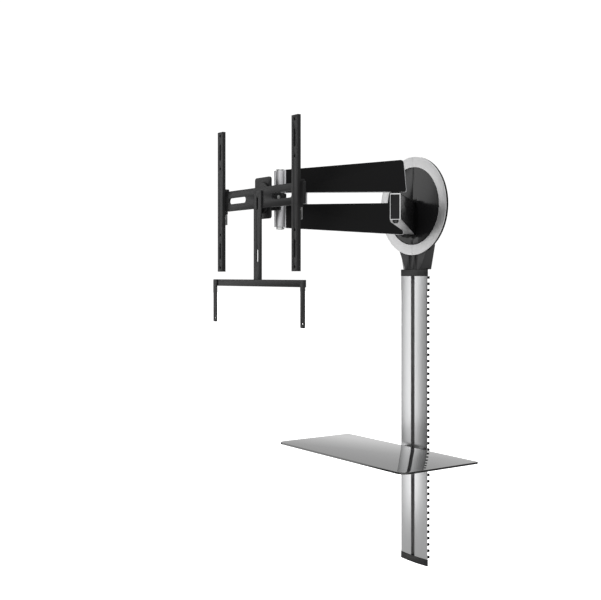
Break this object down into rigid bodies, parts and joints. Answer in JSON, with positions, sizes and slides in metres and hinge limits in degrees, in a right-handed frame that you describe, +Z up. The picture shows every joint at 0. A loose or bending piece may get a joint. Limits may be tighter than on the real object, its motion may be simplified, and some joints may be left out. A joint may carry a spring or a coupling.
{
  "type": "full motion tv wall mount",
  "caption": "Articulated wall mount: round wall disc, two-link swinging arm, tilting screen bracket, cable column with a sliding glass shelf.",
  "frame": {"origin": "on the wall surface behind the centre of the round disc", "axes": "+Z up, +Y into the wall, the room is towards -Y, +X to the right when facing the wall"},
  "size_m": [0.632, 0.6175, 1.359],
  "materials": {
    "steel_black": "black powder coat",
    "steel_bare": "bare steel",
    "ring_aluminium": "brushed aluminium with a polished bevel",
    "dish_gloss": "high gloss black",
    "plastic_black": "fine-grained black plastic",
    "neck_gloss": "satin black plastic",
    "column_aluminium": "satin anodised aluminium",
    "column_dark": "black extrusion",
    "arm_gloss": "gloss black side cover",
    "arm_core": "gloss black painted casting",
    "arm_under": "brushed light grey strip",
    "chrome_trim": "polished chrome",
    "wing_black": "matte black paint",
    "wing_core": "cast aluminium",
    "bush_polymer": "dark bearing polymer",
    "knob_black": "moulded knob",
    "glass_black": "black float glass",
    "pad_rubber": "soft clear-black pad",
    "zinc_steel": "zinc plated steel"
  },
  "bodies": {
    "wall_unit": {"wall_plate": "steel_black", "hinge_bracket": "steel_black", "wall_hinge_pin": "zinc_steel", "disc_carrier": "plastic_black", "disc_screws": "zinc_steel", "ring_left": "ring_aluminium", "ring_right": "ring_aluminium", "dish_left": "dish_gloss", "dish_right": "dish_gloss", "neck_cover": "neck_gloss", "neck_ridges": "neck_gloss", "column_back": "column_dark", "column_cover_left": "column_aluminium", "column_cover_right": "column_aluminium", "column_top_cap": "plastic_black", "column_bottom_cap": "plastic_black", "cable_comb_left": "plastic_black", "cable_comb_right": "plastic_black"},
    "inner_arm": {"inner_arm_core": "arm_core", "inner_arm_side_left": "arm_gloss", "inner_arm_side_right": "arm_gloss", "inner_arm_top_cover": "arm_gloss", "inner_arm_underside": "arm_under", "inner_arm_front_plate": "arm_gloss", "inner_arm_front_trim": "chrome_trim", "wall_hinge_bushes": "bush_polymer", "elbow_bushes": "bush_polymer"},
    "outer_arm": {"upper_wing_core": "wing_core", "lower_wing_core": "wing_core", "upper_wing_near_skin": "wing_black", "upper_wing_far_skin": "wing_black", "lower_wing_near_skin": "wing_black", "lower_wing_far_skin": "wing_black", "wing_link": "wing_core", "elbow_pin": "zinc_steel", "elbow_washer": "bush_polymer", "elbow_cap": "plastic_black", "wing_screws": "zinc_steel", "swivel_pin": "zinc_steel"},
    "swivel_head": {"swivel_yoke": "steel_black", "swivel_bushes": "bush_polymer", "tilt_pin": "zinc_steel"},
    "tilt_knob": {"tilt_knob": "knob_black"},
    "tilt_head": {"tilt_bracket": "steel_black", "level_bolt": "zinc_steel"},
    "tv_frame": {"vesa_hub": "steel_black", "cross_bar": "steel_black", "bar_end_caps": "plastic_black"},
    "rail_left": {"vesa_rail_left": "steel_black", "rail_lock_left": "zinc_steel"},
    "rail_right": {"vesa_rail_right": "steel_black", "rail_lock_right": "zinc_steel"},
    "soundbar_holder": {"soundbar_spine": "steel_black", "soundbar_bar": "steel_black", "soundbar_hangers": "steel_black"},
    "shelf": {"shelf_glass": "glass_black", "shelf_bracket": "wing_core", "shelf_slider": "zinc_steel", "shelf_pads": "pad_rubber"},
    "shelf_knob": {"shelf_knob": "knob_black"}
  },
  "joints": [
    {"name": "wall_swing", "type": "hinge", "parent": "wall_unit", "child": "inner_arm", "pos_m": [0, -0.05, 0], "axis": [0, 0, 1], "range_deg": [-128, 42]},
    {"name": "elbow_swing", "type": "hinge", "parent": "inner_arm", "child": "outer_arm", "pos_m": [0.23808, -0.29287, 0], "axis": [0, 0, -1], "range_deg": [-88, 64]},
    {"name": "head_swivel", "type": "hinge", "parent": "outer_arm", "child": "swivel_head", "pos_m": [0, -0.53095, 0], "axis": [0, 0, 1], "range_deg": [-45, 42]},
    {"name": "head_tilt", "type": "hinge", "parent": "swivel_head", "child": "tilt_head", "pos_m": [0, -0.57495, 0], "axis": [1, 0, 0], "range_deg": [-5, 15]},
    {"name": "tilt_knob_turn", "type": "hinge", "parent": "swivel_head", "child": "tilt_knob", "pos_m": [0.05, -0.57495, 0], "axis": [1, 0, 0], "continuous": true},
    {"name": "head_level", "type": "hinge", "parent": "tilt_head", "child": "tv_frame", "pos_m": [0, -0.59595, 0], "axis": [0, 1, 0], "range_deg": [-3, 3]},
    {"name": "rail_left_slide", "type": "slide", "parent": "tv_frame", "child": "rail_left", "axis": [1, 0, 0], "range_m": [0, 0.1]},
    {"name": "rail_right_slide", "type": "slide", "parent": "tv_frame", "child": "rail_right", "axis": [-1, 0, 0], "range_m": [0, 0.1]},
    {"name": "soundbar_height", "type": "slide", "parent": "tv_frame", "child": "soundbar_holder", "axis": [0, 0, 1], "range_m": [-0.03, 0.015]},
    {"name": "shelf_height", "type": "slide", "parent": "wall_unit", "child": "shelf", "axis": [0, 0, 1], "range_m": [-0.22, 0.25]},
    {"name": "shelf_knob_turn", "type": "hinge", "parent": "shelf", "child": "shelf_knob", "pos_m": [0, -0.034, -0.822], "axis": [0, -1, 0], "continuous": true}
  ]
}
